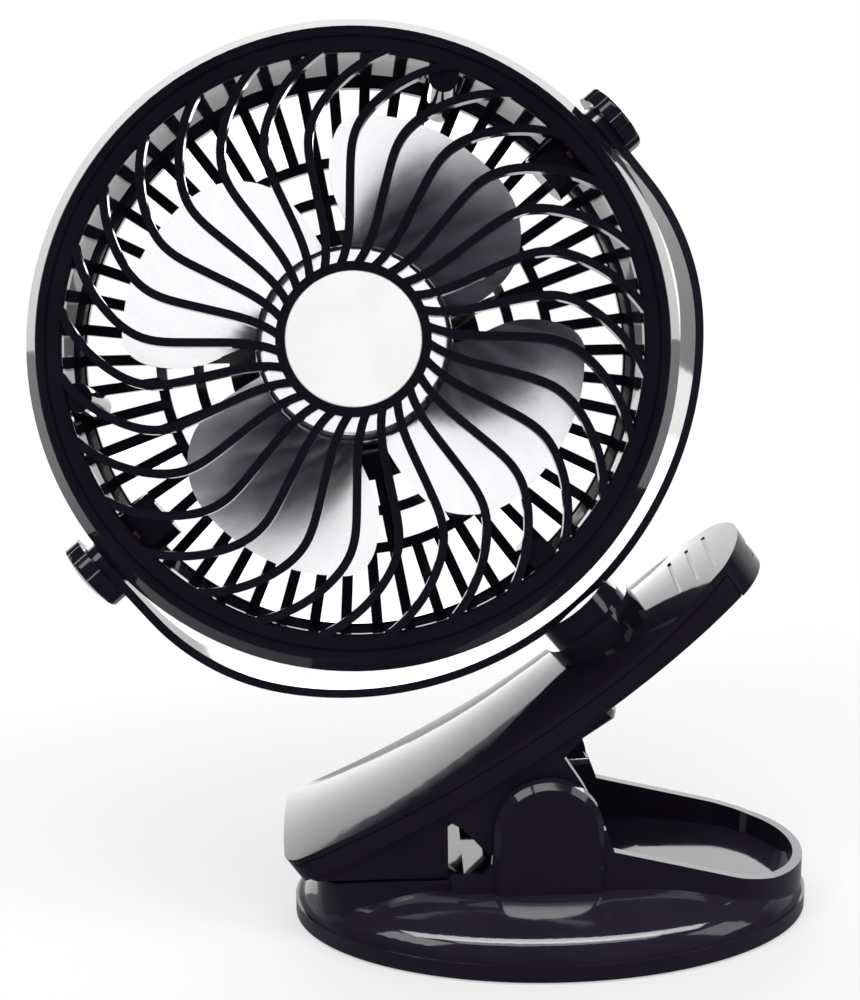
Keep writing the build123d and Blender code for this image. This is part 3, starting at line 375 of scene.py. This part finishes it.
def linked(name, pieces, state="INCLUDE"):
    """The pieces that a lamp lights or is stopped by, or with EXCLUDE the ones it leaves out."""
    group = bpy.data.collections.new(name)
    for piece in pieces:
        group.objects.link(piece)
    for row in group.collection_objects:
        row.light_linking.link_state = state
    return group


def softbox(name, place, axes, size, radiance, lights, stopped_by=None):
    """A rectangular lamp that shines against its own z; axes are its x, y and z."""
    data = bpy.data.lights.new(name, "AREA")
    data.shape = "RECTANGLE"
    data.size, data.size_y = size
    data.energy = radiance * pi * size[0] * size[1]
    lamp = bpy.data.objects.new(name, data)
    bpy.context.scene.collection.objects.link(lamp)
    lamp.matrix_world = Matrix.Translation(place) @ Matrix(axes).transposed().to_4x4()
    lamp.visible_camera = False
    lamp.light_linking.receiver_collection = lights
    if stopped_by:
        lamp.light_linking.blocker_collection = stopped_by


def aimed(place, target):
    """Axes of a lamp at one point that shines toward another, level from side to side."""
    turn = (Vector(target) - Vector(place)).to_track_quat("-Z", "Y").to_matrix()
    return [turn.col[i].copy() for i in range(3)]


def room_lights():
    """Softboxes for all but the blades and the front grille, and a strip for the foot and the yoke."""
    room = linked("all_but_the_fan", [nodes["rotor"], nodes["front_grille"]], "EXCLUDE")
    for name, place, target, size, radiance in room_softboxes:
        softbox(name, Vector(place), aimed(place, target), size, radiance, room)
    foot = linked("foot", [nodes["lower_jaw"], nodes["yoke"]])
    name, place, target, size, radiance = foot_softbox
    softbox(name, Vector(place), aimed(place, target), size, radiance, foot)


def blade_lights():
    """Two white cards before the fan, for the silver blades alone, with a dark gap between them."""
    silver = linked("silver_pieces", [nodes["rotor"]])
    for name, angle, left, low in blade_cards:
        along = head_right * cos(radians(angle)) + head_up * sin(radians(angle))
        across = head_facing.cross(along)
        middle = (along * (left + blade_card_reach) + across * (low + blade_card_reach)) / 2
        place = head_centre + head_facing * blade_card_distance + middle
        size = (blade_card_reach - left, blade_card_reach - low)
        softbox(name, place, (along, across, head_facing), size, blade_radiance, silver, silver)


def cage_lights():
    """White cards behind and under the cage, for the gloss on its flank and inner walls."""
    rear, front, yoke = nodes["rear_shell"], nodes["front_grille"], nodes["yoke"]
    stops = linked("cage_stops", [rear, front, nodes["rotor"]])
    place = head_centre - head_facing * back_card_distance + head_up * back_card_rise
    axes = (-head_right, head_up, -head_facing)
    for name, pieces, radiance in (
        ("inner_walls", [rear, yoke], inner_wall_radiance),
        ("ring_flank", [front], ring_flank_radiance),
    ):
        softbox("card_for_" + name, place, axes, back_card_size, radiance, linked(name, pieces), stops)
    softbox(
        "cage_card_floor", floor_card_place, facing_up, floor_card_size, floor_card_radiance,
        linked("cage_floor", [rear]), stops,
    )


# ---- Scene --------------------------------------------------------------------------------

bpy.context.scene.view_settings.view_transform = "Standard"
make_camera()
make_world()
make_stage()
room_lights()
blade_lights()
cage_lights()
dress_nodes()
soften_edges()
